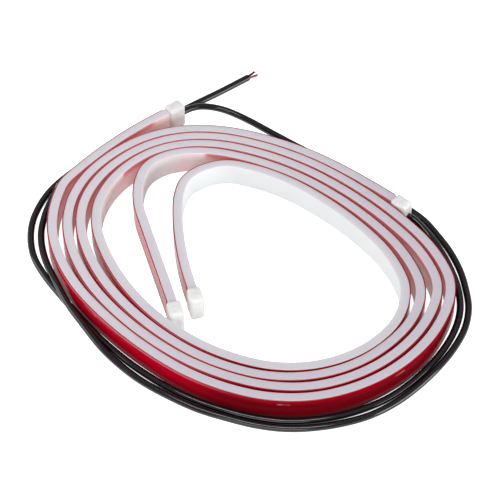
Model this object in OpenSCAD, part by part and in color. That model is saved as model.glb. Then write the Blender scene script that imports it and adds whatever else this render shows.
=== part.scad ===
// Door warning LED strip: two silicone light strips wound together into one loose coil, standing on
// edge, with red-lined adhesive tape on the outer side, moulded end caps and two bare-ended leads.
// Frame: millimetres, +Z up, X to the right and Y away from the viewer of the photo, floor at z = 0.
// Origin: middle of the coil's footprint, on the floor. The two leads may reach outside it.

/* [Strip] */
// Height of the silicone extrusion, which stands on its edge
strip_h = 12.5; // [11:0.1:14]
// Thickness of the silicone extrusion
strip_t = 4.4; // [3.8:0.1:4.4]
// Flat of the first corner facet of the extrusion
corner = 0.8; // [0.4:0.1:1]
// Silicone between the hidden channel and the adhesive side
back_wall = 1; // [0.8:0.1:1.2]
// Depth of the hidden channel that holds the circuit
channel_t = 1.6; // [1.4:0.1:1.8]
// Height of the hidden channel
channel_h = 8.6; // [8:0.1:9]

/* [Adhesive] */
// Height of the adhesive tape and its liner
tape_h = 10.2; // [8:0.1:10.6]
// Thickness of the foam adhesive tape
tape_t = 0.4; // [0.2:0.05:0.4]
// Thickness of the red release liner
liner_t = 0.15; // [0.1:0.01:0.15]
// Bare silicone left between the tape and each cap
tape_stop = 1.5; // [0.5:0.5:5]

/* [Circuit] */
// Height of the flexible circuit
circuit_h = 7.8; // [6.5:0.1:7.8]
// Thickness of the flexible circuit
circuit_t = 0.2; // [0.1:0.05:0.3]
// Distance along the strip between light-emitting chips
led_pitch = 16; // [12:1:40]
// Size of a chip along the strip
led_l = 3.5; // [2:0.1:3.5]
// Height of a chip
led_h = 2.8; // [1.5:0.1:3]
// How far a chip stands out from the circuit
led_out = 0.8; // [0.4:0.1:0.9]
// Chips that share one series resistor
leds_per_cut = 3; // [2:1:6]

/* [Caps] */
// Length of a moulded cap
cap_l = 9; // [8:0.5:10]
// Silicone wall of a cap beside and above the strip
cap_wall = 1.2; // [0.8:0.1:1.2]
// Floor of a cap under the end of the strip
cap_floor = 0.8; // [0.5:0.1:1]
// Depth of the pocket that takes the strip
pocket_l = 7; // [5:0.5:7.5]
// Bevel on the outer edges of a cap
cap_bevel = 1; // [0.4:0.1:1.2]

/* [Leads] */
// Outer diameter of the two-core cable
cable_d = 3.4; // [3:0.1:3.6]
// Diameter of one insulated core
core_d = 1.2; // [0.9:0.1:1.3]
// Diameter of the tinned copper in a core
copper_d = 0.6; // [0.4:0.1:0.7]
// Insulated core left bare of jacket at the free end
core_out = 5; // [3:0.5:8]
// Tinned copper left bare at the free end
copper_out = 2.5; // [1.5:0.5:4]

/* [Hidden] */
// Each arc of the winding ends where the outward normal has short decimals: the 7-24-25 and 3-4-5
// triangles give four such directions inside a quarter turn. Arc centres then stay short decimals
// too, so neighbouring arcs share one exact plane and fuse into a single smooth solid.
DIRS = [[1, 0], [0.96, 0.28], [0.8, 0.6], [0.6, 0.8], [0.28, 0.96]];
// One more such direction, at index 2.75, for the lead that leaves between two of them
BETWEEN = [0.658944, 0.752192];

// Radius of the silicone's adhesive face in mm, five arcs to each quarter turn, outside inwards
RADII_A = [
    [220, 24, 78],
    [64, 102, 200, 110, 75],
    [70, 82, 85, 76, 42],
    [31, 83, 200, 141, 75],
    [54, 54, 70, 58, 48],
    [62, 110, 148, 102, 65],
    [65, 64, 78, 50, 35],
    [34, 82, 172, 128, 64],
    [40, 30, 20, 20, 45],
    [60]
];
RADII_B = [
    [375, 150, 78],
    [60, 60, 80, 60, 56],
    [69, 104, 160, 116, 72],
    [60, 76, 80, 70, 34],
    [29, 76, 198, 133, 68],
    [50, 44, 58, 56, 42],
    [55, 122, 120, 98, 61],
    [58, 62, 56, 42, 42],
    [31, 78, 171, 95, 26],
    [22, 32, 20, 18, 49],
    [190]
];

// Straight stretches before each winding and after it
lead_run_a = 3.5;
lead_run_b = 6;
tail_run_a = 58;
tail_run_b = 2;

// A strip is [radii, index of its first normal, start of its first arc, straight lead, straight tail]
STRIP_A = [flat(RADII_A), 7, [-45.6, 93.8], lead_run_a, tail_run_a];
STRIP_B = [flat(RADII_B), 2.75, [66.504, 39.072], lead_run_b, tail_run_b];

// Middle line of each lead after its cap: hand-picked stations as it lies on the floor
ROUTE_A = [
    [-26, 104.5, 5.6], [-20, 105.5, 4.4], [-13.5, 105, 3], [-7, 102.5, 2], [0, 98, 1.7],
    [9, 91, 1.7], [20, 82.5, 1.7], [32, 73.5, 1.7], [56, 54.5, 1.7], [67, 45.5, 1.7],
    [76.5, 37, 1.7], [84.5, 28.5, 1.7], [90.5, 18.5, 1.7], [95.5, 8.5, 1.7],
    [99.5, -3.5, 1.7], [101.5, -15.5, 1.7], [102, -27.5, 1.7], [99.5, -39.5, 1.7],
    [94, -51, 1.7], [86.5, -62, 1.7], [77, -73, 1.7], [66, -83, 1.7], [54, -90.5, 1.7],
    [41.5, -95, 1.7], [28.5, -97.5, 1.7], [15.5, -98, 1.7], [2.5, -96, 1.7],
    [-10.5, -92, 1.7], [-23.5, -87, 1.7], [-36, -80, 1.7], [-48.5, -71.5, 1.7],
    [-58.5, -62.5, 1.8], [-68, -52.5, 3.2], [-76.5, -41, 5.2], [-84, -29, 5.3],
    [-90.5, -15.5, 5.4], [-97.5, 2.5, 3.4], [-100.5, 18.5, 1.8], [-99.5, 32, 2], [-96, 44.5, 3]
];
ROUTE_B = [
    [83.5, 20.5, 4.6], [88, 14, 3], [92.5, 5, 2], [96, -6, 1.7], [98, -17, 1.7],
    [98, -28, 1.7], [95.5, -38.5, 1.7], [90.5, -49.5, 1.7], [83.5, -60, 1.7],
    [74.5, -70.5, 1.7], [63.5, -80, 1.7], [52, -86.5, 1.7], [40, -91, 1.7], [27.5, -93.5, 1.7],
    [15, -94, 1.7], [2, -92, 1.7], [-11, -88, 1.7], [-24, -82.5, 1.7],
    [-36, -75.5, 1.7], [-48, -66.5, 1.7], [-58, -57.5, 1.7], [-68, -47, 1.7], [-77.5, -35, 1.7],
    [-87, -22, 1.7], [-96.5, -8, 1.7], [-103, 5, 1.7], [-105.5, 18.5, 1.7], [-104.5, 32, 1.7],
    [-99, 47, 1.7], [-89.5, 60, 1.7], [-77.5, 71, 1.7], [-62.5, 83.5, 1.7],
    [-46, 97, 1.7], [-31.5, 108, 1.7], [-16, 119, 1.7], [-1, 130, 2]
];

silicone = [0.9, 0.9, 0.93, 0.85];
cap_white = [0.93, 0.93, 0.91, 0.8];
foam_grey = [0.82, 0.82, 0.84];
liner_red = [0.72, 0.05, 0.09];
circuit_white = [0.95, 0.95, 0.93];
led_yellow = [0.95, 0.8, 0.3];
chip_black = [0.1, 0.1, 0.1];
jacket_black = [0.08, 0.08, 0.09];
core_red = [0.75, 0.05, 0.07];
core_black = [0.05, 0.05, 0.05];
tinned = [0.8, 0.8, 0.82];

channel_x = -back_wall - channel_t;
circuit_x = -back_wall - circuit_t;
channel_z = (strip_h - channel_h) / 2;
tape_z = (strip_h - tape_h) / 2;
circuit_z = (strip_h - circuit_h) / 2;
mid_z = strip_h / 2;
cap_w = strip_t + 2 * cap_wall;
cap_h = strip_h + cap_wall;
end_gap = 1;
sleeve_in = pocket_l - end_gap;
core_x = circuit_x - core_d / 2 - 0.05;
core_step = 0.85;
core_z = [mid_z - core_step, mid_z + core_step];
core_apart = 0.75;
weld_l = 1.6;
weld_out = 1.1;
weld_at = 2;
reach = 625;

// Which sub-part to draw

function flat(rows) = [for (row = rows) for (r = row) r];
function quarter(v, n) = n == 0 ? v : quarter([-v[1], v[0]], n - 1);
function base(i) = i == floor(i) ? DIRS[i % 5] : BETWEEN;
function normal(i) = quarter(base(i), floor(i / 5) % 4);
function ahead(i) = [-normal(i)[1], normal(i)[0]];
function heading(i) = atan2(base(i)[1], base(i)[0]) + 90 * floor(i / 5);
function radius(s, k) = s[0][k];
function arcs(s) = len(s[0]);

// Index of the normal where arc k of a strip starts
function index(s, k) = k == 0 ? s[1] : floor(s[1]) + k;
function last(s) = index(s, arcs(s));

// Centres of a strip's arcs, each found from the one before along the shared normal
function centres(s) = [
    for (
        k = 0, c = s[2] - radius(s, 0) * normal(s[1]);
        k < arcs(s);
        c = k + 1 < arcs(s) ? c + (radius(s, k) - radius(s, k + 1)) * normal(index(s, k + 1)) : c,
        k = k + 1
    ) c
];
function first_point(s) = s[2];
function last_point(s) = centres(s)[arcs(s) - 1] + radius(s, arcs(s) - 1) * normal(last(s));
function lead_mouth(s) = first_point(s) - s[3] * ahead(s[1]);
function tail_mouth(s) = last_point(s) + s[4] * ahead(last(s));
function tangent_point(s, i) = let (k = i - floor(s[1])) centres(s)[k] + radius(s, k) * normal(i);

// Length of each arc of the adhesive face, and the length before arc k
function arc_length(s, k) =
    radius(s, k) * (heading(index(s, k + 1)) - heading(index(s, k))) * PI / 180;
function before(s) = [
    for (k = 0, sum = 0; k <= arcs(s); sum = k < arcs(s) ? sum + arc_length(s, k) : sum, k = k + 1) sum
];

// The coil's footprint without the leads, from its outermost turn and the back cap
skin = tape_t + liner_t;
left = tangent_point(STRIP_A, 10)[0] - skin;
right = tangent_point(STRIP_A, 20)[0] + skin;
front = tangent_point(STRIP_A, 15)[1] - skin;
back = (lead_mouth(STRIP_A) - (cap_l - cap_bevel) * ahead(7) + cap_wall * normal(7))[1];
shift = -[left + right, front + back, 0] / 2;

// Places children at p with local X along the short-decimal direction e
module at(p, e) {
    multmatrix([[e[0], -e[1], 0, p[0]], [e[1], e[0], 0, p[1]], [0, 0, 1, 0], [0, 0, 0, 1]]) children();
}

// Sweeps a section (X outward from the adhesive face, Y up) back from p against the winding
module straight(p, n, l) {
    multmatrix([[n[0], 0, n[1], p[0]], [n[1], 0, -n[0], p[1]], [0, 1, 0, 0], [0, 0, 0, 1]])
        linear_extrude(l) children();
}

module arc(centre, r, from, to) {
    translate(centre)
        intersection() {
            rotate_extrude($fn = 180) translate([r, 0]) children();
            translate([0, 0, -1])
                linear_extrude(strip_h + 2)
                    polygon([[0, 0], reach * from, reach * to]);
        }
}

// Sweeps a section along a whole strip, reaching past the two cap mouths by `past`
module sweep(s, past) {
    c = centres(s);
    straight(first_point(s), normal(s[1]), s[3] + past) children();
    for (k = [0:arcs(s) - 1])
        arc(c[k], radius(s, k), normal(index(s, k)), normal(index(s, k + 1))) children();
    straight(tail_mouth(s) + past * ahead(last(s)), normal(last(s)), s[4] + past) children();
}

module bar(x, w, z, h) {
    translate([x, z]) square([w, h]);
}

module sleeve_section() {
    c = corner;
    f = 0.3 * corner;
    difference() {
        polygon([
            [0, c], [-f, f], [-c, 0], [c - strip_t, 0], [f - strip_t, f], [-strip_t, c],
            [-strip_t, strip_h - c], [f - strip_t, strip_h - f], [c - strip_t, strip_h],
            [-c, strip_h], [-f, strip_h - f], [0, strip_h - c]
        ]);
        bar(channel_x, channel_t, channel_z, channel_h);
    }
}

// The two ends of a strip as [mouth of the cap, outward direction, sideways sense of the section]
function lead_end(s) = [lead_mouth(s), -ahead(s[1]), 1];
function tail_end(s) = [tail_mouth(s), ahead(last(s)), -1];

module sleeve(s) {
    color(silicone)
        difference() {
            sweep(s, sleeve_in) sleeve_section();
            for (end = [lead_end(s), tail_end(s)])
                at(end[0], end[1])
                    translate([0, -strip_t - 2, -1])
                        cube([cap_l, 2 * strip_t + 4, cap_floor + 1]);
        }
}

module tape(s) {
    color(foam_grey) sweep(s, -tape_stop) bar(0, tape_t, tape_z, tape_h);
}

module liner(s) {
    color(liner_red) sweep(s, -tape_stop) bar(tape_t, liner_t, tape_z, tape_h);
}

module circuit(s) {
    color(circuit_white) sweep(s, sleeve_in) bar(circuit_x, circuit_t, circuit_z, circuit_h);
}

// One small chip on the circuit, bent to the arc that carries it
module chip_on_arc(s, k, along, l, out, h) {
    turn = 180 / PI / radius(s, k);
    translate(centres(s)[k])
        rotate([0, 0, heading(index(s, k)) + (along - l / 2) * turn])
            rotate_extrude(angle = l * turn, $fn = 180)
                translate([radius(s, k), 0]) bar(circuit_x - out, out, mid_z - h / 2, h);
}

// Chips at every pitch along the arcs, kept clear of the joints between arcs
module chips(s, pitch, first, l, out, h) {
    b = before(s);
    for (at_length = [first:pitch:b[arcs(s)] - l])
        let (k = max([for (j = [0:arcs(s) - 1]) b[j] <= at_length ? j : 0]))
            chip_on_arc(s, k, min(max(at_length - b[k], l), arc_length(s, k) - l), l, out, h);
}

module leds(s) {
    color(led_yellow) chips(s, led_pitch, led_pitch / 2, led_l, led_out, led_h);
}

module resistors(s) {
    color(chip_black) chips(s, led_pitch * leds_per_cut, led_pitch, 1.6, 0.5, 0.8);
}

// A bevelled block: X outward from the mouth, Y across, standing on the floor
module cap_block() {
    b = cap_bevel;
    w = cap_w / 2;
    l = cap_l;
    h = cap_h;
    intersection() {
        linear_extrude(h)
            polygon([[0, -w], [l - b, -w], [l, b - w], [l, w - b], [l - b, w], [0, w]]);
        rotate([90, 0, 90])
            linear_extrude(l)
                polygon([[-w, 0], [w, 0], [w, h - b], [w - b, h], [b - w, h], [-w, h - b]]);
        translate([0, w, 0])
            rotate([90, 0, 0])
                linear_extrude(cap_w)
                    polygon([[0, 0], [l, 0], [l, h - b], [l - b, h], [0, h]]);
    }
}

module cap(end, bored) {
    color(cap_white)
        at(end[0], end[1])
            difference() {
                translate([0, -end[2] * strip_t / 2, 0]) cap_block();
                translate([-1, -end[2] * strip_t / 2 - strip_t / 2, cap_floor])
                    cube([pocket_l + 1, strip_t, strip_h - cap_floor]);
                if (bored)
                    for (z = core_z)
                        translate([pocket_l - 1, end[2] * core_x, z])
                            rotate([0, 90, 0]) cylinder(d = core_d, h = cap_l, $fn = 48);
            }
}

// The strip's end face is cut away by the cap floor, so solder sits above it on the circuit
module solder(s) {
    end = lead_end(s);
    color(tinned)
        at(end[0], end[1])
            for (z = core_z)
                translate([sleeve_in - weld_at - weld_l, end[2] * circuit_x - weld_out, z - 0.6])
                    rotate([90, 0, 90])
                        linear_extrude(weld_l)
                            polygon([[0, 0.3], [0.3, 0], [weld_out, 0], [weld_out, 1.2], [0.3, 1.2], [0, 0.9]]);
}

function unit(v) = v / norm(v);

// Rings of a tube along its points: each ring stands square to the chord through its neighbours
function tube_dir(p, i) = unit(p[min(i + 1, len(p) - 1)] - p[max(i - 1, 0)]);
function tube_ring(p, i, d, sides) =
    let (t = tube_dir(p, i), u = unit(cross([0, 0, 1], t)), v = cross(t, u))
    [for (j = [0:sides - 1]) let (a = 360 * (j + 0.5) / sides) p[i] + d / 2 * (cos(a) * u + sin(a) * v)];

module tube(p, d, sides) {
    n = len(p);
    points = [for (i = [0:n - 1]) each tube_ring(p, i, d, sides)];
    walls = [
        for (i = [0:n - 2]) for (j = [0:sides - 1])
            let (a = i * sides, b = (j + 1) % sides)
                [a + j, a + sides + j, a + sides + b, a + b]
    ];
    first = [for (j = [0:sides - 1]) j];
    final = [for (j = [0:sides - 1]) n * sides - 1 - j];
    polyhedron(points = points, faces = concat([first], walls, [final]));
}

// Where the cable leaves its cap, and the first station straight out of it
function exit_point(s) =
    let (p = lead_mouth(s) - cap_l * ahead(s[1]) - strip_t / 2 * normal(s[1]))
    [p[0], p[1], mid_z];
function flat3(v) = [v[0], v[1], 0];
function lead_path(s, route) = concat([exit_point(s), exit_point(s) - 4 * flat3(ahead(s[1]))], route);

module cable(s, route) {
    color(jacket_black) tube(lead_path(s, route), cable_d, 8);
}

// The free end of a lead: its last station and the way it points
function free_end(route) = route[len(route) - 1];
function free_dir(route) = unit(free_end(route) - route[len(route) - 2]);

// A straight round piece of one core beyond the jacket, `from` along it and to one side
module free_core(route, side, from, l, d) {
    t = free_dir(route);
    translate(free_end(route) + from * t + side * core_apart * unit(cross([0, 0, 1], t)))
        rotate([0, acos(t[2]), atan2(t[1], t[0])])
            cylinder(d = d, h = l, $fn = 48);
}

module core(s, route, side, z) {
    end = lead_end(s);
    start = sleeve_in - weld_at;
    at(end[0], end[1])
        translate([start, end[2] * core_x, z])
            rotate([0, 90, 0]) cylinder(d = core_d, h = cap_l - start, $fn = 48);
    free_core(route, side, 0, core_out, core_d);
}

module tips(route) {
    color(tinned)
        for (side = [-1, 1])
            free_core(route, side, core_out, copper_out, copper_d);
}

translate(shift) {
    sleeve(STRIP_A);  // sleeve_a
    tape(STRIP_A);  // tape_a
    liner(STRIP_A);  // liner_a
    circuit(STRIP_A);  // circuit_a
    leds(STRIP_A);  // leds_a
    resistors(STRIP_A);  // resistors_a
    cap(lead_end(STRIP_A), true);  // lead_cap_a
    cap(tail_end(STRIP_A), false);  // end_cap_a
    solder(STRIP_A);  // solder_a
    color(core_red) core(STRIP_A, ROUTE_A, -1, core_z[1]);  // red_core_a
    color(core_black) core(STRIP_A, ROUTE_A, 1, core_z[0]);  // black_core_a
    cable(STRIP_A, ROUTE_A);  // cable_a
    tips(ROUTE_A);  // tips_a
    sleeve(STRIP_B);  // sleeve_b
    tape(STRIP_B);  // tape_b
    liner(STRIP_B);  // liner_b
    circuit(STRIP_B);  // circuit_b
    leds(STRIP_B);  // leds_b
    resistors(STRIP_B);  // resistors_b
    cap(lead_end(STRIP_B), true);  // lead_cap_b
    cap(tail_end(STRIP_B), false);  // end_cap_b
    solder(STRIP_B);  // solder_b
    color(core_red) core(STRIP_B, ROUTE_B, -1, core_z[1]);  // red_core_b
    color(core_black) core(STRIP_B, ROUTE_B, 1, core_z[0]);  // black_core_b
    cable(STRIP_B, ROUTE_B);  // cable_b
    tips(ROUTE_B);  // tips_b
}
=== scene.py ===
import math

import bmesh
import bpy
import numpy as np
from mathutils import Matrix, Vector


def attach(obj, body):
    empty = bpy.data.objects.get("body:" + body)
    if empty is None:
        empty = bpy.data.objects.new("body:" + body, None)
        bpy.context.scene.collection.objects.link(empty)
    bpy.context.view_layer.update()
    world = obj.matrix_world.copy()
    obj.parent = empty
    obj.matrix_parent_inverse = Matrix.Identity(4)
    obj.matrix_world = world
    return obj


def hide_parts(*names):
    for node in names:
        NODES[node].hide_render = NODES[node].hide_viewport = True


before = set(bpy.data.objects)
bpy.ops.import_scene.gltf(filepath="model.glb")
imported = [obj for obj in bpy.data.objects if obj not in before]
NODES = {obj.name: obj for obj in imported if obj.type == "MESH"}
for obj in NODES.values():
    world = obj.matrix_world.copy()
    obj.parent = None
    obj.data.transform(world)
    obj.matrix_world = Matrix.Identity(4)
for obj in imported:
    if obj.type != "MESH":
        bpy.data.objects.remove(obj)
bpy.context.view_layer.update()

# ---------------------------------------------------------------- sizes, in metres
MM = 0.001
STRIP_H = 12.5 * MM
STRIP_T = 4.4 * MM
MID_Z = STRIP_H / 2
STRIP_CORNER = 0.45 * MM
INTO_CAP = 5 * MM         # the silicone runs on inside each cap
TAPE_T = 0.4 * MM
TAPE_CORNER = 0.08 * MM
LINER_T = 0.15 * MM
LINER_CORNER = 0.03 * MM
TAPE_H = 11.7 * MM
TAPE_STOP = 1.5 * MM      # tape and liner end this far short of the caps
CAP_L = 9 * MM
CAP_WALL = 1.2 * MM
CAP_H = STRIP_H + CAP_WALL
CAP_CORNER = 1.5 * MM
CAP_CUTS = 18             # cuts along each edge of a cap's block
CABLE_D = 3.4 * MM
CABLE_OUT = 4 * MM        # the cable leaves its cap straight for this far
CORE_R = 0.6 * MM
CORE_L = 5 * MM           # the bare length of the two cores
CORE_APART = 0.75 * MM    # from the cable's middle to each core's
CORE_SPREAD = 30          # how fast the cores part, in metres aside per metre squared
FLOOR_DROP = 0.05 * MM    # keeps the floor clear of the undersides

# The spacing of the points that the rails are made of
STRAIGHT_STEP = 1.5 * MM
ARC_STEP = 1.2 * MM
CABLE_STEP = 1.2 * MM

# ---------------------------------------------------------------- the winding, as in part.scad
SHIFT = np.array([0.7, -5.105, 0]) * MM   # from the drawing's origin to the frame's
DIRS = np.array([[1, 0], [0.96, 0.28], [0.8, 0.6], [0.6, 0.8], [0.28, 0.96]])
BETWEEN = np.array([0.658944, 0.752192])
# Radii in mm. A program fitted them to the photograph, and most are its own numbers, so
# they are a fitted table and weren't chosen by hand.
RADII_A = [
    220, 24, 78, 64, 102, 200, 110, 75, 70, 82, 85, 76, 42, 31, 83, 200, 141, 75, 54, 54, 70, 58,
    48, 62, 110, 148, 102, 65, 65, 64, 78, 50, 35, 34, 82, 172, 128, 64, 40, 30, 20, 20, 45, 60,
]
RADII_B = [
    375, 150, 78, 60, 60, 80, 60, 56, 69, 104, 160, 116, 72, 60, 76, 80, 70, 34, 29, 76, 198,
    133, 68, 50, 44, 58, 56, 42, 55, 122, 120, 98, 61, 58, 62, 56, 42, 42, 31, 78, 171, 95, 26,
    22, 32, 20, 18, 49, 190,
]


def normal(i):
    """The outward direction with this index, 20 to a full turn and one between two of them."""
    v = DIRS[i % 5] if i == int(i) else BETWEEN
    for _ in range(int(i) // 5 % 4):
        v = np.array([-v[1], v[0]])
    return v


def ahead(i):
    """The direction in which a strip runs on where its outward direction is normal(i)."""
    n = normal(i)
    return np.array([-n[1], n[0]])


class Strip:
    """One wound strip: the line of its adhesive face, with the outward normals.

    Arcs with the given radii (mm) follow each other from direction `first` on, between a
    straight `lead` before `start` and a straight `tail` (mm).
    """

    def __init__(self, radii, first, start, lead, tail):
        self.first, self.end = first, int(first) + len(radii)
        bounds = [first] + [int(first) + k for k in range(1, len(radii) + 1)]
        radii = [r * MM for r in radii]
        start = np.array(start) * MM
        self.lead_mouth = start - lead * MM * ahead(first)
        centre = start - radii[0] * normal(first)
        centres = [centre]
        for k in range(1, len(radii)):
            centre = centre + (radii[k - 1] - radii[k]) * normal(bounds[k])
            centres.append(centre)
        stop = centres[-1] + radii[-1] * normal(self.end)
        self.tail_mouth = stop + tail * MM * ahead(self.end)
        points, normals = [], []

        def straight(a, b, n):
            count = max(2, int(np.hypot(*(b - a)) / STRAIGHT_STEP))
            for t in np.arange(count) / count:
                points.append(a + t * (b - a))
                normals.append(n)

        straight(self.lead_mouth, start, normal(first))
        for k, r in enumerate(radii):
            a0 = math.atan2(*normal(bounds[k])[::-1])
            a1 = math.atan2(*normal(bounds[k + 1])[::-1])
            a1 += 2 * math.pi if a1 < a0 else 0
            count = max(4, int(r * (a1 - a0) / ARC_STEP))
            for t in np.arange(count) / count:
                angle = a0 + t * (a1 - a0)
                n = np.array([math.cos(angle), math.sin(angle)])
                points.append(centres[k] + r * n)
                normals.append(n)
        straight(stop, self.tail_mouth, normal(self.end))
        points.append(self.tail_mouth)
        normals.append(normal(self.end))
        self.points = np.array(points) + SHIFT[:2]
        self.normals = np.array(normals)
        self.lead_mouth = self.lead_mouth + SHIFT[:2]
        self.tail_mouth = self.tail_mouth + SHIFT[:2]


STRIPS = {
    "a": Strip(RADII_A, 7, (-45.6, 93.8), 3.5, 58),
    "b": Strip(RADII_B, 2.75, (66.504, 39.072), 6, 2),
}

# The points that each lead runs through after its cap, as in part.scad
ROUTES = {
    "a": [
        (-0.026, 0.1045, 0.0056), (-0.02, 0.1055, 0.0044), (-0.0135, 0.105, 0.003),
        (-0.007, 0.1025, 0.002), (0, 0.098, 0.0017), (0.009, 0.091, 0.0017),
        (0.02, 0.0825, 0.0017), (0.032, 0.0735, 0.0017), (0.056, 0.0545, 0.0017),
        (0.067, 0.0455, 0.0017), (0.0765, 0.037, 0.0017), (0.0845, 0.0285, 0.0017),
        (0.0905, 0.0185, 0.0017), (0.0955, 0.0085, 0.0017), (0.0995, -0.0035, 0.0017),
        (0.1015, -0.0155, 0.0017), (0.102, -0.0275, 0.0017), (0.0995, -0.0395, 0.0017),
        (0.094, -0.051, 0.0017), (0.0865, -0.062, 0.0017), (0.077, -0.073, 0.0017),
        (0.066, -0.083, 0.0017), (0.054, -0.0905, 0.0017), (0.0415, -0.095, 0.0017),
        (0.0285, -0.0975, 0.0017), (0.0155, -0.098, 0.0017), (0.0025, -0.096, 0.0017),
        (-0.0105, -0.092, 0.0017), (-0.0235, -0.087, 0.0017), (-0.036, -0.08, 0.0017),
        (-0.0485, -0.0715, 0.0017), (-0.0585, -0.0625, 0.0018), (-0.068, -0.0525, 0.0032),
        (-0.0765, -0.041, 0.0052), (-0.084, -0.029, 0.0053), (-0.0905, -0.0155, 0.0054),
        (-0.0975, 0.0025, 0.0034), (-0.1005, 0.0185, 0.0018), (-0.0995, 0.032, 0.002),
        (-0.096, 0.0445, 0.003),
    ],
    "b": [
        (0.0835, 0.0205, 0.0046), (0.088, 0.014, 0.003), (0.0925, 0.005, 0.002),
        (0.096, -0.006, 0.0017), (0.098, -0.017, 0.0017), (0.098, -0.028, 0.0017),
        (0.0955, -0.0385, 0.0017), (0.0905, -0.0495, 0.0017), (0.0835, -0.06, 0.0017),
        (0.0745, -0.0705, 0.0017), (0.0635, -0.08, 0.0017), (0.052, -0.0865, 0.0017),
        (0.04, -0.091, 0.0017), (0.0275, -0.0935, 0.0017), (0.015, -0.094, 0.0017),
        (0.002, -0.092, 0.0017), (-0.011, -0.088, 0.0017), (-0.024, -0.0825, 0.0017),
        (-0.036, -0.0755, 0.0017), (-0.048, -0.0665, 0.0017), (-0.058, -0.0575, 0.0017),
        (-0.068, -0.047, 0.0017), (-0.0775, -0.035, 0.0017), (-0.087, -0.022, 0.0017),
        (-0.0965, -0.008, 0.0017), (-0.103, 0.005, 0.0017), (-0.1055, 0.0185, 0.0017),
        (-0.1045, 0.032, 0.0017), (-0.099, 0.047, 0.0017), (-0.0895, 0.06, 0.0017),
        (-0.0775, 0.071, 0.0017), (-0.0625, 0.0835, 0.0017), (-0.046, 0.097, 0.0017),
        (-0.0315, 0.108, 0.0017), (-0.016, 0.119, 0.0017), (-0.001, 0.13, 0.002),
    ],
}

# ---------------------------------------------------------------- camera
ELEVATION = math.radians(47.5)
TARGET = Vector((SHIFT[0], SHIFT[1], 12 * MM))   # seen from 1 m away
SENSOR = 36
FOCAL_PIXELS, PICTURE_PIXELS = 2120, 500
cam_data = bpy.data.cameras.new("camera")
cam_data.sensor_width = SENSOR
cam_data.lens = SENSOR * FOCAL_PIXELS / PICTURE_PIXELS
cam_data.clip_start = 0.01
cam_data.clip_end = 20
camera = bpy.data.objects.new("camera", cam_data)
bpy.context.collection.objects.link(camera)
camera.location = TARGET + Vector((0, -math.cos(ELEVATION), math.sin(ELEVATION)))
camera.rotation_euler = (TARGET - camera.location).to_track_quat("-Z", "Y").to_euler()
bpy.context.scene.camera = camera


# ---------------------------------------------------------------- node trees as expressions
class Val:
    """A socket of a node tree, so that its maths reads as Python."""

    def __init__(self, net, socket):
        self.net, self.socket = net, socket

    def _math(self, op, *values):
        return self.net.node("ShaderNodeMath", {"operation": op}, *values)

    def __add__(self, o): return self._math("ADD", self, o)
    def __radd__(self, o): return self._math("ADD", o, self)
    def __sub__(self, o): return self._math("SUBTRACT", self, o)
    def __rsub__(self, o): return self._math("SUBTRACT", o, self)
    def __mul__(self, o): return self._math("MULTIPLY", self, o)
    def __lt__(self, o): return self._math("LESS_THAN", self, o)
    def abs(self): return self._math("ABSOLUTE", self)
    def max(self, o): return self._math("MAXIMUM", self, o)

    def clip(self):
        """The value, held between 0 and 1."""
        held = self + 0
        held.socket.node.use_clamp = True
        return held

    def smooth(self, low, high, a=0.0, b=1.0):
        """A soft step from a to b, as the value goes from low to high."""
        return self.net.node(
            "ShaderNodeMapRange", {"interpolation_type": "SMOOTHSTEP"}, self, low, high, a, b
        )


class Net:
    """Builds nodes in one tree. node() returns the first output, or the one asked for by name."""

    def __init__(self, tree):
        self.tree = tree

    def node(self, kind, settings=None, *args, out=None, **named):
        n = self.tree.nodes.new(kind)
        for key, value in (settings or {}).items():
            setattr(n, key, value)
        free = [s for s in n.inputs if s.enabled]
        for socket, value in zip(free, args):
            self.feed(socket, value)
        for key, value in named.items():
            self.feed(self.pick(n.inputs, key), value)
        if not n.outputs:
            return n
        if out:
            return Val(self, self.pick(n.outputs, out))
        return Val(self, next(s for s in n.outputs if s.enabled))

    def pick(self, sockets, name):
        name = name.replace("_", " ").lower()
        return next(s for s in sockets if s.enabled and s.name.lower() == name)

    def feed(self, socket, value):
        if isinstance(value, Val):
            self.tree.links.new(value.socket, socket)
        else:
            socket.default_value = value


def material(name):
    m = bpy.data.materials.new(name)
    m.use_nodes = True
    m.node_tree.nodes.clear()
    net = Net(m.node_tree)
    return m, net


def finish_material(net, shader):
    net.node("ShaderNodeOutputMaterial", None, shader)


def noise(net, vector, scale, detail=2.0, rough=0.5):
    return net.node(
        "ShaderNodeTexNoise", None, Vector=vector, Scale=scale, Detail=detail, Roughness=rough
    )


def mix(net, factor, a, b):
    return net.node(
        "ShaderNodeMix", {"data_type": "RGBA"}, Factor=factor, A=a, B=b, out="Result"
    )


# ---------------------------------------------------------------- geometry nodes
def geometry_group(name, inputs):
    """A geometry node tree with named inputs, each (name, socket type)."""
    tree = bpy.data.node_groups.new(name, "GeometryNodeTree")
    tree.interface.new_socket("Geometry", in_out="INPUT", socket_type="NodeSocketGeometry")
    tree.interface.new_socket("Geometry", in_out="OUTPUT", socket_type="NodeSocketGeometry")
    for label, kind in inputs:
        tree.interface.new_socket(label, in_out="INPUT", socket_type=kind)
    net = Net(tree)
    start = tree.nodes.new("NodeGroupInput")
    given = {s.name: Val(net, s) for s in start.outputs if s.name}
    return tree, net, given


def store(net, geometry, name, value):
    return net.node(
        "GeometryNodeStoreNamedAttribute", {"data_type": "FLOAT", "domain": "POINT"},
        Geometry=geometry, Name=name, Value=value,
    )


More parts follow.
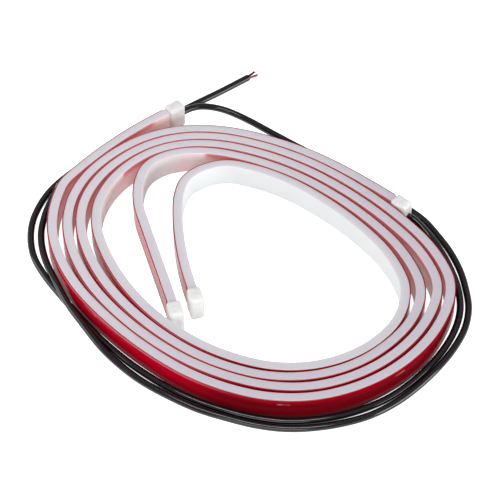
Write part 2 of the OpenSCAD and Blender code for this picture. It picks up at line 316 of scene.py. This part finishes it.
def finish_sweep(net, curve, profile, mat):
    """Sweeps the profile along the curve, and stores how far along and around each point is."""
    curve = store(net, curve, "along", net.node("GeometryNodeSplineParameter", out="Length"))
    profile = store(net, profile, "around", net.node("GeometryNodeSplineParameter", out="Factor"))
    mesh = net.node(
        "GeometryNodeCurveToMesh", None, Curve=curve, Profile_Curve=profile, Fill_Caps=True
    )
    smooth = net.node("GeometryNodeSetShadeSmooth", None, mesh)
    real = net.node("GeometryNodeRealizeInstances", None, Geometry=smooth)
    done = net.node("GeometryNodeSetMaterial", None, Geometry=real, Material=mat)
    end = net.tree.nodes.new("NodeGroupOutput")
    net.tree.links.new(done.socket, end.inputs["Geometry"])


def sweep_group():
    """Sweeps an upright rounded rectangle along a rail of vertices."""
    tree, net, g = geometry_group("sweep", [
        ("Width", "NodeSocketFloat"), ("Height", "NodeSocketFloat"),
        ("Corner", "NodeSocketFloat"), ("Steps", "NodeSocketInt"),
        ("Material", "NodeSocketMaterial"),
    ])
    curve = net.node("GeometryNodeMeshToCurve", None, Mesh=g["Geometry"])
    curve = net.node("GeometryNodeSetCurveNormal", {"mode": "Z_UP"}, curve)
    profile = net.node(
        "GeometryNodeCurvePrimitiveQuadrilateral", None, Width=g["Width"], Height=g["Height"]
    )
    profile = net.node(
        "GeometryNodeFilletCurve", {"mode": "POLY"}, profile, Count=g["Steps"], Radius=g["Corner"]
    )
    finish_sweep(net, curve, profile, g["Material"])
    return tree


def hose_group():
    """Sweeps a circle along a rail of vertices."""
    tree, net, g = geometry_group("hose", [
        ("Radius", "NodeSocketFloat"), ("Sides", "NodeSocketInt"),
        ("Material", "NodeSocketMaterial"),
    ])
    curve = net.node("GeometryNodeMeshToCurve", None, Mesh=g["Geometry"])
    profile = net.node(
        "GeometryNodeCurvePrimitiveCircle", None, Resolution=g["Sides"], Radius=g["Radius"]
    )
    finish_sweep(net, curve, profile, g["Material"])
    return tree


def baked(name, points, tree, marks=None, **inputs):
    """A mesh piece: the rail run through a node tree, then fixed as plain mesh.

    `marks` gives each point of the rail a value, which the sweep carries on as "open".
    """
    mesh = bpy.data.meshes.new(name)
    edges = [(i, i + 1) for i in range(len(points) - 1)]
    mesh.from_pydata([tuple(p) for p in points], edges, [])
    if marks is not None:
        mesh.attributes.new("open", "FLOAT", "POINT").data.foreach_set("value", marks)
    obj = bpy.data.objects.new(name, mesh)
    bpy.context.collection.objects.link(obj)
    mod = obj.modifiers.new("nodes", "NODES")
    mod.node_group = tree
    ids = {s.name: s.identifier for s in tree.interface.items_tree if s.in_out == "INPUT"}
    for key, value in inputs.items():
        mod[ids[key]] = value
    obj.modifiers.new("normals", "WEIGHTED_NORMAL").keep_sharp = True
    bpy.context.view_layer.update()
    graph = bpy.context.evaluated_depsgraph_get()
    fixed = bpy.data.meshes.new_from_object(
        obj.evaluated_get(graph), preserve_all_data_layers=True, depsgraph=graph
    )
    obj.modifiers.clear()
    obj.data = fixed
    fixed.name = name
    bpy.data.meshes.remove(mesh)
    return obj


def piece(obj, node):
    """Puts a drawn piece on the part's one body, in the place of a CAD node."""
    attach(obj, "root")
    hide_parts(node)


# ---------------------------------------------------------------- materials
def attribute(net, name):
    return net.node("ShaderNodeAttribute", {"attribute_name": name}, out="Fac")


def object_coords(net):
    return net.node("ShaderNodeTexCoord", None, out="Object")


def separate(net, v):
    """The three parts of a vector, from one node."""
    x = net.node("ShaderNodeSeparateXYZ", None, v)
    return [Val(net, s) for s in x.socket.node.outputs]


def vector(net, x, y, z):
    return net.node("ShaderNodeCombineXYZ", None, x, y, z)


def bump(net, height, distance, strength):
    return net.node("ShaderNodeBump", None, Strength=strength, Distance=distance, Height=height)


def principled(net, **inputs):
    return net.node("ShaderNodeBsdfPrincipled", None, **inputs)


def make_silicone():
    """Milky silicone with a lilac top, the lilac partly its own tint and partly painted red light
    of the tape showing through. The inner face is white in the open; where it faces the red film
    of the next turn it has painted pink bounce light and a painted glow (emission)."""
    m, net = material("silicone")
    along, around = attribute(net, "along"), attribute(net, "around")
    clear = attribute(net, "open")
    where = object_coords(net)
    x, y, z = separate(net, where)
    level = separate(net, net.node("ShaderNodeTexCoord", None, out="Normal"))[2].abs()
    cloud = noise(net, where, 60.0, 3.0)
    streak = noise(net, vector(net, along * 40.0, around * 90.0, 0.0), 1.0, 3.0, 0.6)
    smudge = noise(net, where, 220.0, 4.0, 0.6).smooth(0.45, 0.75)
    open_side = clear.smooth(0.0, 1.0)

    # The top: painted shade, darker away from the camera; a lilac tint, partly painted red light
    # from the tape showing through, greyer in the open where no tape lies behind; a painted rosy
    # glow along the tape's edge
    far = (x + y * -0.8).smooth(-0.1, 0.09)
    top = mix(net, far + (cloud - 0.5) * 0.3, (0.815, 0.75, 0.82, 1), (0.69, 0.635, 0.71, 1))
    # Less painted red light in the open, so greyer there
    top = mix(net, open_side * 0.6, top, (0.76, 0.74, 0.765, 1))
    # Painted rosy glow: the red tape's light seen through the silicone along its edge
    edge = around.smooth(0.0, 0.05, 1.0, 0.0) + around.smooth(0.97, 1.0)
    top = mix(net, edge * 0.55, top, (0.86, 0.56, 0.7, 1))

    # The inner face: painted pink bounce light from the red film it faces, in uneven patches; a
    # painted red reflection of the film at the top of a closed gap; white in the open
    # Painted red bounce light, in patches
    red_bounce_patch = noise(net, vector(net, along * 55.0, z * 60.0, 0.0), 1.0, 3.0).smooth(0.42, 0.6)
    face = mix(net, red_bounce_patch, (0.96, 0.72, 0.69, 1), (0.97, 0.9, 0.89, 1))
    # Painted reflection of the red film near the top of a closed gap
    tight = (1.0 - clear.smooth(0.0, 0.12)) * z.smooth(0.0075, 0.0115)
    face = mix(net, tight * 0.75, face, (0.62, 0.09, 0.11, 1))
    face = mix(net, open_side, face, (0.86, 0.86, 0.865, 1))

    # A painted glow (emission) standing in for the light that the silicone carries down into a gap
    glow = (1.0 - level.smooth(0.2, 0.8)) * (1.0 - open_side)
    carried = mix(net, tight * 0.9, (1.0, 0.5, 0.45, 1), (0.6, 0.03, 0.06, 1))

    height = streak * 0.6 + noise(net, where, 900.0, 2.0) * 0.25
    # Tops take the top colour and sides the face colour; the tops' darker colour is partly painted
    # shade
    finish_material(net, principled(
        net, Base_Color=mix(net, level.smooth(0.3, 0.9), face, top),
        Roughness=0.36 + streak * 0.08 + smudge * 0.12, IOR=1.38,
        Subsurface_Weight=0.6, Subsurface_Radius=(0.005, 0.0036, 0.004), Subsurface_Scale=1.0,
        # Painted glow: emission on the sides in closed gaps
        Emission_Color=mix(net, glow, (0.0, 0.0, 0.0, 1), carried), Emission_Strength=0.13,
        Normal=bump(net, height, 0.00004, 0.5),
    ))
    return m


def make_cap():
    """Whiter moulded silicone with a pebbled skin."""
    m, net = material("cap")
    where = object_coords(net)
    cloud = noise(net, where, 420.0, 3.0)
    tint = mix(net, cloud.smooth(0.3, 0.7), (0.86, 0.855, 0.83, 1), (0.93, 0.925, 0.905, 1))
    height = noise(net, where, 380.0, 3.0) + noise(net, where, 2400.0, 2.0) * 0.2
    finish_material(net, principled(
        net, Base_Color=tint, Roughness=0.28 + cloud * 0.15, IOR=1.41, Subsurface_Weight=0.8,
        Subsurface_Radius=(0.004, 0.0038, 0.0035), Subsurface_Scale=1.0,
        Normal=bump(net, height, 0.0008, 0.7),
    ))
    return m


def make_liner():
    """Glossy red release film with painted reflections: brighter at the left and towards its top,
    pink where these meet, and a pale painted highlight streak.
    """
    m, net = material("liner")
    along, around = attribute(net, "along"), attribute(net, "around")
    where = object_coords(net)
    x, y, z = separate(net, where)
    wave = noise(net, vector(net, along * 55.0, around * 1.2, 0.0), 1.0, 2.0)
    fine = noise(net, where, 700.0, 3.0)

    # Painted reflection: lighter at the left and towards the top, darker low down where it
    # reflects the black cables
    left = x.smooth(-0.045, 0.0, 1.0, 0.0) * z.smooth(0.001, 0.009, 0.35, 1.0)
    rim = z.smooth(0.0085, 0.0118) * 0.45
    bright = (left + rim + (wave - 0.5) * 0.4).clip()
    tint = mix(net, bright, (0.17, 0.002, 0.007, 1), (0.54, 0.0, 0.015, 1))
    # Painted pink reflection where the left and the top meet
    pink = left * z.smooth(0.0106, 0.0118) * 0.5
    tint = mix(net, pink, tint, (0.8, 0.36, 0.45, 1))

    # A painted pale highlight streak along a thin band near the top
    band = z.smooth(0.0094, 0.0099) * z.smooth(0.0101, 0.0106, 1.0, 0.0)
    highlight_streak = noise(net, vector(net, along * 70.0, 0.0, 0.0), 1.0, 2.0).smooth(0.6, 0.66) * band
    tint = mix(net, highlight_streak * 0.35, tint, (0.85, 0.5, 0.5, 1))

    finish_material(net, principled(
        net, Base_Color=tint, Roughness=0.12 + fine.smooth(0.4, 0.8) * 0.1, IOR=1.2,
        Normal=bump(net, wave + fine * 0.05, 0.0006, 0.35),
    ))
    return m


def make_tape():
    """Red foam, seen as a line between the silicone and the film."""
    m, net = material("foam_tape")
    cells = noise(net, object_coords(net), 5000.0, 3.0)
    tint = mix(net, cells, (0.36, 0.006, 0.016, 1), (0.5, 0.012, 0.026, 1))
    finish_material(net, principled(
        net, Base_Color=tint, Roughness=0.7 + cells * 0.2, Normal=bump(net, cells, 0.0001, 0.4),
    ))
    return m


def make_jacket():
    """Black glossy cable sheath, drawn along its length, with a little dust."""
    m, net = material("jacket")
    along, around = attribute(net, "along"), attribute(net, "around")
    where = object_coords(net)
    pull = noise(net, vector(net, along * 60.0, around * 14.0, 0.0), 1.0, 3.0)
    grain = noise(net, where, 3500.0, 2.0)
    dust = noise(net, where, 350.0, 4.0, 0.65).smooth(0.55, 0.85)
    tint = mix(net, dust, (0.003, 0.003, 0.005, 1), (0.01, 0.009, 0.012, 1))
    finish_material(net, principled(
        net, Base_Color=tint, Roughness=0.07 + grain * 0.03 + dust * 0.1, IOR=1.6,
        Normal=bump(net, pull + grain * 0.3, 0.00005, 0.3),
    ))
    return m


def make_core(name, dark, light):
    """The plastic insulation of one core."""
    m, net = material(name)
    grain = noise(net, object_coords(net), 2500.0, 2.0)
    finish_material(net, principled(
        net, Base_Color=mix(net, grain, dark, light), Roughness=0.32 + grain * 0.12,
        Normal=bump(net, grain, 0.00003, 0.4),
    ))
    return m


def make_tinned():
    """Tinned copper and solder."""
    m, net = material("tinned")
    grain = noise(net, object_coords(net), 3000.0, 3.0)
    tint = mix(net, grain, (0.62, 0.6, 0.57, 1), (0.8, 0.79, 0.78, 1))
    finish_material(net, principled(
        net, Base_Color=tint, Metallic=1.0, Roughness=0.25 + grain * 0.25,
        Normal=bump(net, grain, 0.00004, 0.5),
    ))
    return m


def make_circuit():
    """White flexible circuit with one copper-coloured trace above and one below its middle."""
    m, net = material("circuit")
    where = object_coords(net)
    z = separate(net, where)[2]
    trace = ((z - MID_Z).abs() - 0.0026).abs() < 0.0005
    weave = noise(net, where, 1800.0, 3.0)
    tint = mix(net, trace * 0.5, (0.85, 0.85, 0.82, 1), (0.7, 0.6, 0.42, 1))
    finish_material(net, principled(
        net, Base_Color=tint, Roughness=0.4 + weave * 0.15, Normal=bump(net, weave, 0.00003, 0.3),
    ))
    return m


def make_led():
    """White chip body with a yellow window across its middle."""
    m, net = material("led")
    where = object_coords(net)
    z = separate(net, where)[2]
    window = (z - MID_Z).abs().smooth(0.0007, 0.0009, 1.0, 0.0)
    grain = noise(net, where, 6000.0, 2.0)
    tint = mix(net, window, (0.85, 0.85, 0.83, 1), (0.85, 0.62, 0.12, 1))
    finish_material(net, principled(
        net, Base_Color=tint, Roughness=0.3 + grain * 0.15, Normal=bump(net, grain, 0.00002, 0.3),
    ))
    return m


def make_resistor():
    """Dark chip resistor."""
    m, net = material("resistor")
    grain = noise(net, object_coords(net), 5000.0, 2.0)
    tint = mix(net, grain, (0.012, 0.012, 0.013, 1), (0.03, 0.03, 0.032, 1))
    finish_material(net, principled(
        net, Base_Color=tint, Roughness=0.4 + grain * 0.2, Normal=bump(net, grain, 0.00002, 0.3),
    ))
    return m


SILICONE, CAP, LINER, TAPE = make_silicone(), make_cap(), make_liner(), make_tape()
JACKET, TINNED, CIRCUIT = make_jacket(), make_tinned(), make_circuit()
LED, RESISTOR = make_led(), make_resistor()
RED_CORE = make_core("red_core", (0.4, 0.006, 0.01, 1), (0.5, 0.012, 0.016, 1))
BLACK_CORE = make_core("black_core", (0.01, 0.01, 0.01, 1), (0.02, 0.02, 0.02, 1))
SWEEP, HOSE = sweep_group(), hose_group()


# ---------------------------------------------------------------- the leads
def smooth_path(points):
    """A Catmull-Rom line through the points, straight on at both ends."""
    p = np.array(points, float)
    p = np.vstack([2 * p[0] - p[1], p, 2 * p[-1] - p[-2]])
    out = []
    for i in range(1, len(p) - 2):
        a, b, c, d = p[i - 1:i + 3]
        count = max(2, int(np.linalg.norm(c - b) / CABLE_STEP))
        for t in np.arange(count) / count:
            out.append(0.5 * (
                2 * b + (c - a) * t + (2 * a - 5 * b + 4 * c - d) * t**2
                + (3 * b - a - 3 * c + d) * t**3
            ))
    out.append(p[-2])
    return np.array(out)


def lead_points(key):
    """The points that a lead runs through, from its cap's mouth to its end."""
    strip = STRIPS[key]
    i = strip.first
    exit_xy = strip.lead_mouth - CAP_L * ahead(i) - STRIP_T / 2 * normal(i)
    first = np.array([*exit_xy, MID_Z])
    second = first - np.array([*(CABLE_OUT * ahead(i)), 0])
    return [first, second] + [np.array(q) + SHIFT for q in ROUTES[key]]


def unit(v):
    return v / np.linalg.norm(v)


CORDS = {}
for key in "ab":
    path = smooth_path(lead_points(key))
    path[:, 2] = np.maximum(path[:, 2], CABLE_D / 2)
    cable = baked("cable_%s_look" % key, path, HOSE, Radius=CABLE_D / 2, Sides=24, Material=JACKET)
    piece(cable, "cable_" + key)
    CORDS[key] = (cable, path)


# ---------------------------------------------------------------- the strips
def rail(strip, side, past):
    """The strip's line moved outward by `side`, at mid-height. It runs `past` its two cap mouths,
    or ends short of them where `past` is negative."""
    pts = strip.points + side * strip.normals
    t0 = unit(pts[0] - pts[1])
    t1 = unit(pts[-1] - pts[-2])
    steps = np.linalg.norm(np.diff(pts, axis=0), axis=1)
    run = np.concatenate([[0], np.cumsum(steps)])
    keep = (run > -past + 1e-6) & (run < run[-1] + past - 1e-6)
    pts = np.vstack([pts[0] + past * t0, pts[keep], pts[-1] + past * t1])
    return np.column_stack([pts, np.full(len(pts), MID_Z)])


def openness(line):
    """How clear a strip's inner side is at each point: 0 beside another turn, 1 in the open."""
    beside = 3 * MM     # how far along the strip another turn still counts as beside it
    itself = 1 * MM     # nearer than this is the strip's own line
    closed = 5 * MM     # a gap up to this counts as closed
    wide = 14 * MM      # and one wider by this as open
    every = np.vstack([s.points for s in STRIPS.values()])
    ways = np.gradient(line, axis=0)
    ways /= np.linalg.norm(ways, axis=1)[:, None]
    marks = []
    for p, w in zip(line, ways):
        off = every - p
        inward = off @ [-w[1], w[0]]
        gaps = inward[(np.abs(off @ w) < beside) & (inward > itself)] - STRIP_T / 2
        marks.append(np.clip((gaps.min(initial=1.0) - closed) / wide, 0, 1))
    return np.array(marks)


for key in "ab":
    strip = STRIPS[key]
    line = rail(strip, -STRIP_T / 2, INTO_CAP)
    sleeve = baked(
        "sleeve_%s_look" % key, line, SWEEP, marks=openness(line[:, :2]),
        Width=STRIP_T, Height=STRIP_H, Corner=STRIP_CORNER, Steps=4, Material=SILICONE,
    )
    piece(sleeve, "sleeve_" + key)
    tape = baked(
        "tape_%s_look" % key, rail(strip, TAPE_T / 2, -TAPE_STOP), SWEEP,
        Width=TAPE_T, Height=TAPE_H, Corner=TAPE_CORNER, Steps=2, Material=TAPE,
    )
    piece(tape, "tape_" + key)
    liner = baked(
        "liner_%s_look" % key, rail(strip, TAPE_T + LINER_T / 2, -TAPE_STOP), SWEEP,
        Width=LINER_T, Height=TAPE_H, Corner=LINER_CORNER, Steps=1, Material=LINER,
    )
    piece(liner, "liner_" + key)


# ---------------------------------------------------------------- caps
def cap_mesh(name, mouth, out, side):
    """A moulded cap over a strip's end: a block with round corners and a slightly uneven skin.

    `out` points away from the strip. `side` is 1 where the film lies to the left of `out`, and
    -1 where it lies to the right.
    """
    half = np.array([CAP_L / 2, STRIP_T / 2 + CAP_WALL, CAP_H / 2])
    r = CAP_CORNER
    unevenness = 0.003
    e = np.array([*out, 0])
    f = np.array([-out[1], out[0], 0])
    base = np.array([*mouth, 0]) - side * STRIP_T / 2 * f
    mesh = bpy.data.meshes.new(name)
    bm = bmesh.new()
    bmesh.ops.create_cube(bm, size=2)
    bmesh.ops.subdivide_edges(bm, edges=bm.edges[:], cuts=CAP_CUTS, use_grid_fill=True)
    for v in bm.verts:
        p = np.array(v.co) * half
        core = np.clip(p, r - half, half - r)
        away = p - core
        p = core + r * away / max(np.linalg.norm(away), 1e-9)
        q = (p + half) / MM
        bulge = math.sin(1.3 * q[0] + 0.8 * q[2]) * math.sin(0.9 * q[1] + 0.6 * q[2] + 2)
        p = p * (1 + unevenness * bulge) + [half[0], 0, half[2]]
        v.co = Vector(base + p[0] * e + p[1] * f + [0, 0, p[2]])
    bmesh.ops.recalc_face_normals(bm, faces=bm.faces[:])
    for face in bm.faces:
        face.smooth = True
    bm.to_mesh(mesh)
    bm.free()
    mesh.materials.append(CAP)
    obj = bpy.data.objects.new(name, mesh)
    bpy.context.collection.objects.link(obj)
    return obj


for key in "ab":
    strip = STRIPS[key]
    lead = cap_mesh("lead_cap_%s_look" % key, strip.lead_mouth, -ahead(strip.first), 1)
    piece(lead, "lead_cap_" + key)
    tail = cap_mesh("end_cap_%s_look" % key, strip.tail_mouth, ahead(strip.end), -1)
    piece(tail, "end_cap_" + key)

# ---------------------------------------------------------------- bare ends of the leads
for key in "ab":
    cable, path = CORDS[key]
    end = path[-1]
    t = unit(end - np.array(lead_points(key)[-2]))
    u = unit(np.cross([0, 0, 1], t))
    for sign, mat, slot in ((-1, RED_CORE, "red_core"), (1, BLACK_CORE, "black_core")):
        s = np.linspace(0, CORE_L, 8)
        line = end + np.outer(s, t) + sign * np.outer(CORE_APART + CORE_SPREAD * s**2, u)
        core = baked(
            "%s_%s_look" % (slot, key), line, HOSE, Radius=CORE_R, Sides=16, Material=mat
        )
        piece(core, "%s_%s" % (slot, key))

# ---------------------------------------------------------------- CAD nodes that stay
for key in "ab":
    for part, mat in (
        ("circuit", CIRCUIT), ("leds", LED), ("resistors", RESISTOR), ("solder", TINNED),
        ("tips", TINNED),
    ):
        node = NODES["%s_%s" % (part, key)]
        node.data.materials.clear()
        node.data.materials.append(mat)

# ---------------------------------------------------------------- floor, world and lights
floor_mesh = bpy.data.meshes.new("floor")
floor_mesh.from_pydata([(-3, -3, 0), (3, -3, 0), (3, 3, 0), (-3, 3, 0)], [], [(0, 1, 2, 3)])
floor = bpy.data.objects.new("floor", floor_mesh)
bpy.context.collection.objects.link(floor)
floor.location.z = -FLOOR_DROP
# White paper, which the camera sees as pure white and the gloss sees half as bright
m, net = material("floor")
seen = net.node("ShaderNodeLightPath", None, out="Is Camera Ray")
mirrored = net.node("ShaderNodeLightPath", None, out="Is Glossy Ray")
white = net.node("ShaderNodeEmission", None, Color=(1, 1, 1, 1), Strength=1.0)
paper = net.node("ShaderNodeBsdfDiffuse", None, Color=(0.9, 0.9, 0.9, 1))
both = net.node("ShaderNodeAddShader", None, white, paper)
lit = seen.max(mirrored * 0.5)
finish_material(net, net.node("ShaderNodeMixShader", None, lit, paper, both))
floor_mesh.materials.append(m)

world = bpy.data.worlds.new("studio")
world.use_nodes = True
world.node_tree.nodes.clear()
wnet = Net(world.node_tree)
shade = wnet.node("ShaderNodeBackground", None, Color=(0.97, 0.97, 1.0, 1), Strength=0.37)
wnet.node("ShaderNodeOutputWorld", None, shade)
bpy.context.scene.world = world


def softbox(name, place, size, power):
    """A lamp of size (m) and power (W) that looks at the part's middle."""
    data = bpy.data.lights.new(name, "AREA")
    data.shape = "RECTANGLE"
    data.size, data.size_y = size
    data.energy = power
    light = bpy.data.objects.new(name, data)
    bpy.context.collection.objects.link(light)
    light.location = place
    light.rotation_euler = (-Vector(place)).to_track_quat("-Z", "Y").to_euler()


softbox("key", (-0.35, -1.9, 0.75), (1.5, 0.9), 10.5)
softbox("top", (-0.2, -0.45, 1.6), (1.4, 0.25), 9.5)
softbox("left", (-1.7, 0.1, 0.6), (1.2, 0.8), 7)
softbox("right", (1.7, -0.8, 0.4), (1.2, 0.6), 15)

bpy.context.scene.view_settings.view_transform = "Standard"
